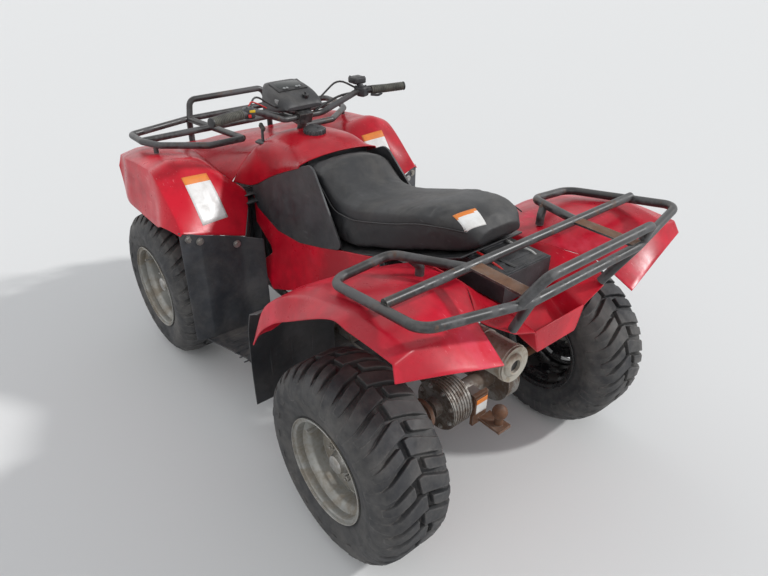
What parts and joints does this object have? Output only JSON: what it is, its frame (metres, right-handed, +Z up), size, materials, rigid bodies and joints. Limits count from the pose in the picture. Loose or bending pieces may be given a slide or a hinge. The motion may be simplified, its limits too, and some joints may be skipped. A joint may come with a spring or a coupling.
{
  "type": "four-wheeled utility quad bike",
  "caption": "Utility quad bike with a straddle seat, front and rear tube racks, a tow ball, and handlebar steering that turns the front wheels through tie rods.",
  "frame": {"origin": "on the ground under the middle of the machine's length and width", "axes": "+X forward along the machine, +Y to its left, +Z up"},
  "size_m": [2.075, 1.1626, 1.1051],
  "materials": {
    "frame_steel": "satin black paint",
    "rack_steel": "worn black paint with surface rust",
    "rusty_steel": "rusty bare steel",
    "cast_metal": "dirty cast aluminium",
    "engine_metal": "dirty painted casting",
    "muffler_metal": "dull heat-stained steel",
    "shock_steel": "satin black paint",
    "red_plastic": "faded moulded plastic",
    "black_plastic": "satin textured",
    "dark_plastic": "textured, sun-greyed",
    "seat_vinyl": "worn vinyl",
    "lamp_glass": "clear lens",
    "grip_rubber": "ribbed rubber",
    "rim_steel": "worn silver paint",
    "tyre_rubber": "dusty rubber"
  },
  "bodies": {
    "root": {"frame": "frame_steel", "skid_plate": "dark_plastic", "engine": "engine_metal", "swingarm": "cast_metal", "rear_brake_cover": "cast_metal", "tow_hitch": "rusty_steel", "exhaust": "muffler_metal", "front_differential": "cast_metal", "suspension_arms": "frame_steel", "shock_absorbers": "shock_steel", "front_bumper": "rack_steel", "rear_rack": "rack_steel", "front_rack": "rack_steel", "front_body": "red_plastic", "tank_cover": "red_plastic", "fuel_cap": "black_plastic", "knee_panels": "black_plastic", "side_panels": "red_plastic", "seat": "seat_vinyl", "rear_fender_left": "red_plastic", "rear_fender_right": "red_plastic", "tail_section": "red_plastic", "battery_box": "black_plastic", "splash_guards": "dark_plastic", "mudguards": "dark_plastic", "footwells": "dark_plastic", "headlights": "lamp_glass"},
    "steering": {"steering_stem": "frame_steel", "handlebar": "frame_steel", "grips": "grip_rubber", "hand_controls": "black_plastic", "display_pod": "black_plastic"},
    "knuckle_left": {"knuckle_left": "cast_metal"},
    "knuckle_right": {"knuckle_right": "cast_metal"},
    "tie_rod_left": {"tie_rod_left": "frame_steel"},
    "tie_rod_right": {"tie_rod_right": "frame_steel"},
    "front_wheel_left": {"front_rim_left": "rim_steel", "front_tyre_left": "tyre_rubber"},
    "front_wheel_right": {"front_rim_right": "rim_steel", "front_tyre_right": "tyre_rubber"},
    "rear_wheels": {"rear_axle_shaft": "rusty_steel", "rear_rim_left": "rim_steel", "rear_tyre_left": "tyre_rubber", "rear_rim_right": "rim_steel", "rear_tyre_right": "tyre_rubber"}
  },
  "joints": [
    {"name": "steering", "type": "hinge", "parent": "root", "child": "steering", "pos_m": [0.5015, 0, 0.35], "axis": [-0.3746, 0, 0.9272], "range_deg": [-33, 33]},
    {"name": "knuckle_left_turn", "type": "hinge", "parent": "root", "child": "knuckle_left", "pos_m": [0.6015, 0.37, 0.302], "axis": [0, 0, 1], "range_deg": [-33, 33]},
    {"name": "tie_rod_left_pivot", "type": "hinge", "parent": "steering", "child": "tie_rod_left", "pos_m": [0.42733, 0.03, 0.32003], "axis": [-0.3746, 0, 0.9272], "range_deg": [-33, 33]},
    {"name": "knuckle_right_turn", "type": "hinge", "parent": "root", "child": "knuckle_right", "pos_m": [0.6015, -0.37, 0.302], "axis": [0, 0, 1], "range_deg": [-33, 33]},
    {"name": "tie_rod_right_pivot", "type": "hinge", "parent": "steering", "child": "tie_rod_right", "pos_m": [0.42733, -0.03, 0.32003], "axis": [-0.3746, 0, 0.9272], "range_deg": [-33, 33]},
    {"name": "front_wheel_left_spin", "type": "hinge", "parent": "knuckle_left", "child": "front_wheel_left", "pos_m": [0.6015, 0.4455, 0.302], "axis": [0, 1, 0], "continuous": true},
    {"name": "front_wheel_right_spin", "type": "hinge", "parent": "knuckle_right", "child": "front_wheel_right", "pos_m": [0.6015, -0.4455, 0.302], "axis": [0, 1, 0], "continuous": true},
    {"name": "rear_axle_spin", "type": "hinge", "parent": "root", "child": "rear_wheels", "pos_m": [-0.6525, 0, 0.302], "axis": [0, 1, 0], "continuous": true}
  ],
  "couplings": [
    {"joint": "knuckle_left_turn", "follows": "steering", "ratio": 1},
    {"joint": "tie_rod_left_pivot", "follows": "steering", "ratio": -1},
    {"joint": "knuckle_right_turn", "follows": "steering", "ratio": 1},
    {"joint": "tie_rod_right_pivot", "follows": "steering", "ratio": -1}
  ]
}
